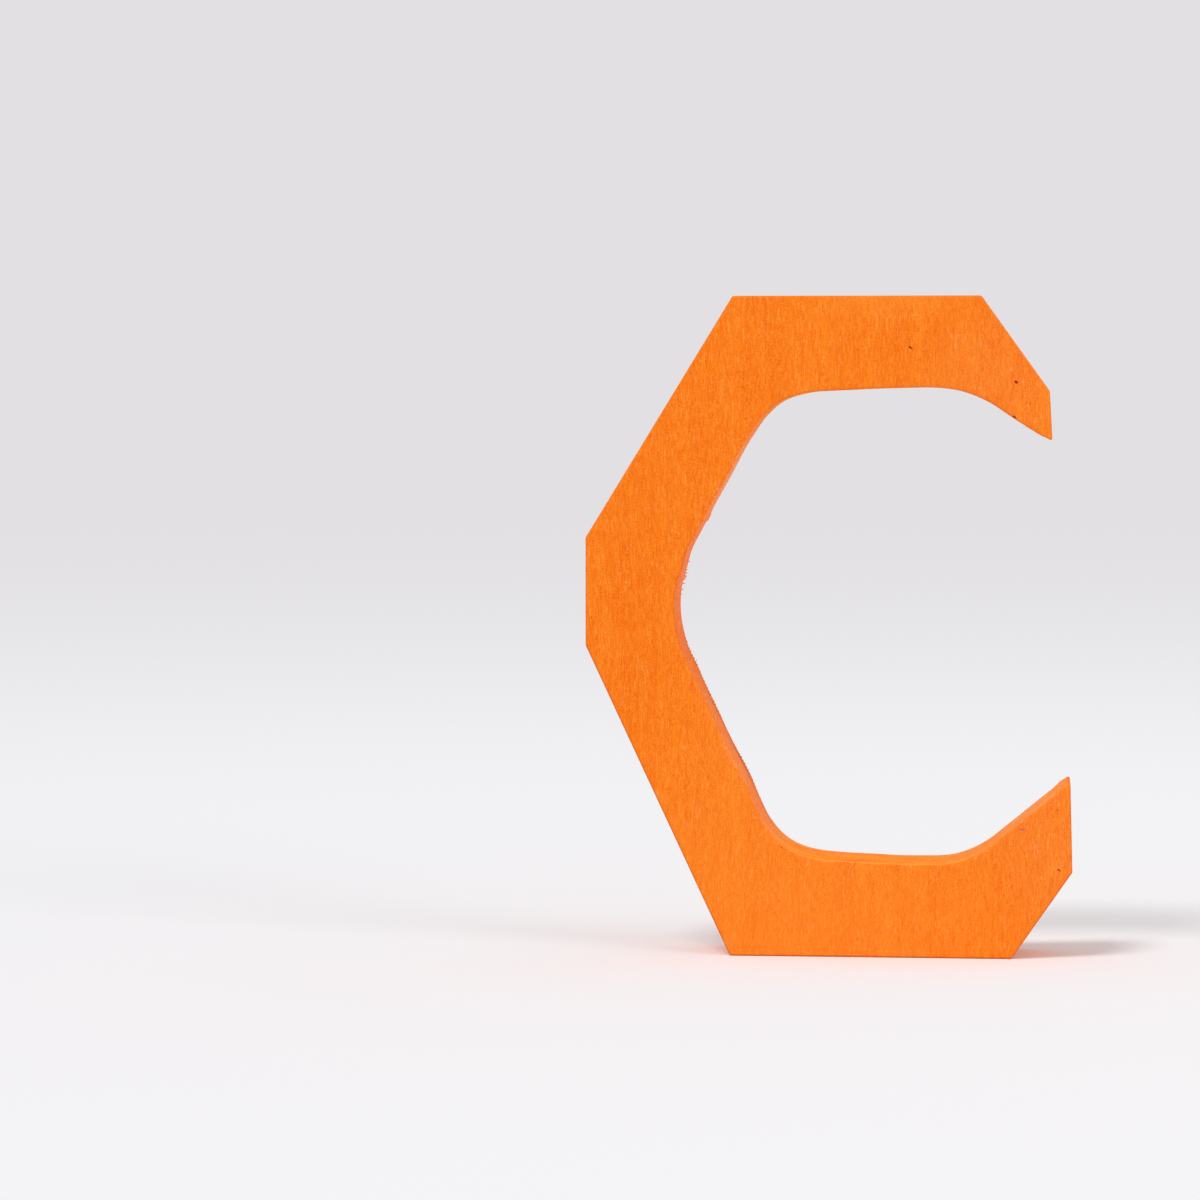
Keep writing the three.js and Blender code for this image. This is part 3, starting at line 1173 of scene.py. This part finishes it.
def strewHairs(tree, given):
    where = geometryAttribute(tree, given["Where"])
    density = times(tree, times(tree, where, given["Density"]), 1 / mm ** 2)
    spots = addNode(tree, "GeometryNodeDistributePointsOnFaces", {
        "Mesh": given["Board"], "Density": density, "Seed": given["Seed"]}).outputs
    aside = addNode(tree, "FunctionNodeRandomValue", {
        0: (-1, -1, -1), 1: (1, 1, 1), "Seed": given["Seed"]}, data_type="FLOAT_VECTOR").outputs[0]
    aside = vectorCalc(tree, "MULTIPLY", aside, given["Flatten"])
    direction = vectorCalc(tree, "ADD", scaled(tree, spots["Normal"], given["Standing"]), aside)
    turn = addNode(tree, "FunctionNodeAlignRotationToVector", {"Vector": direction}, axis="Z").outputs[0]
    length = addNode(tree, "FunctionNodeRandomValue", {
        2: given["Shortest"], 3: given["Longest"], "Seed": given["Seed"]}, data_type="FLOAT").outputs[1]

    hair = addNode(tree, "GeometryNodeCurvePrimitiveLine", {"Start": (0, 0, 0), "End": (0, 0, 1)})
    hair = addNode(tree, "GeometryNodeResampleCurve", {
        "Curve": hair.outputs[0], "Count": fibreShape["steps"]})
    strewn = addNode(tree, "GeometryNodeInstanceOnPoints", {
        "Points": spots["Points"], "Instance": hair.outputs[0], "Rotation": turn,
        "Scale": times(tree, length, mm)})
    return addNode(tree, "GeometryNodeRealizeInstances", {"Geometry": strewn.outputs[0]}).outputs[0]


def skinHairs(tree, given, hairs):
    shape = fibreShape
    place = addNode(tree, "GeometryNodeInputPosition").outputs[0]
    reach = addNode(tree, "GeometryNodeSplineParameter").outputs["Factor"]
    drift = noiseShift(tree, place, shape["bendRepeat"], detail=1)
    drift = vectorCalc(tree, "MULTIPLY", drift, given["Flatten"])
    curl = times(tree, given["Curl"], 2 * mm)
    bend = times(tree, times(tree, reach, reach), curl)  # none at the root
    bent = addNode(tree, "GeometryNodeSetPosition", {
        "Geometry": hairs, "Offset": scaled(tree, drift, bend)})
    taper = remap(tree, reach, (shape["taperFrom"], 1.0), (1.0, shape["tipShare"]))
    thin = addNode(tree, "GeometryNodeSetCurveRadius", {"Curve": bent.outputs[0], "Radius": taper})
    section = addNode(tree, "GeometryNodeCurvePrimitiveCircle", {
        "Resolution": shape["sides"], "Radius": times(tree, given["Thickness"], mm)})
    skin = addNode(tree, "GeometryNodeCurveToMesh", {
        "Curve": thin.outputs[0], "Profile Curve": section.outputs[0], "Fill Caps": True})
    return skin.outputs[0]


def makeFibreTree():
    sockets = {
        "Board": "NodeSocketGeometry", "Where": "NodeSocketString", "Density": "NodeSocketFloat",
        "Seed": "NodeSocketInt", "Shortest": "NodeSocketFloat", "Longest": "NodeSocketFloat",
        "Thickness": "NodeSocketFloat", "Standing": "NodeSocketFloat", "Curl": "NodeSocketFloat",
        "Flatten": "NodeSocketVector", "Material": "NodeSocketMaterial",
    }
    tree, given, result = newTree("fibres", "GeometryNodeTree", sockets, {"Fibres": "NodeSocketGeometry"})
    skin = skinHairs(tree, given, strewHairs(tree, given))
    endTree(tree, skin, given["Material"], result)
    return tree


def applyTree(piece, tree, values):
    modifier = piece.modifiers.new(tree.name, "NODES")
    modifier.node_group = tree
    for item in tree.interface.items_tree:
        if item.in_out == "INPUT" and item.name in values:
            modifier[item.identifier] = values[item.name]
    piece.update_tag()
    graph = bpy.context.evaluated_depsgraph_get()
    made = bpy.data.meshes.new_from_object(
        piece.evaluated_get(graph), preserve_all_data_layers=True, depsgraph=graph)
    piece.modifiers.remove(modifier)
    made.name = piece.name
    piece.data = made


def addPiece(name, mesh):
    piece = bpy.data.objects.new(name, mesh)
    scene.collection.objects.link(piece)
    return piece


def finishPiece(piece):
    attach(piece, "root")
    print(f"{piece.name}: {len(piece.data.polygons)} faces")


def makeLetter():
    grain = makeGrain()
    board = addPiece("letterBoard", makeBlank())
    applyTree(board, makeSawTree(makeStainedWood(grain)), sawSettings)
    finishPiece(board)
    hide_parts(boardSettings["node"])

    materials = {name: makeFibreMaterial(name, grain) for name in fibreLooks}
    tree = makeFibreTree()
    for name, values in fibreKinds.items():
        fibres = addPiece(name, board.data.copy())
        applyTree(fibres, tree, {**values, "Material": materials[values["look"]]})
        finishPiece(fibres)


makeCamera()
makeStudio()
makeLetter()
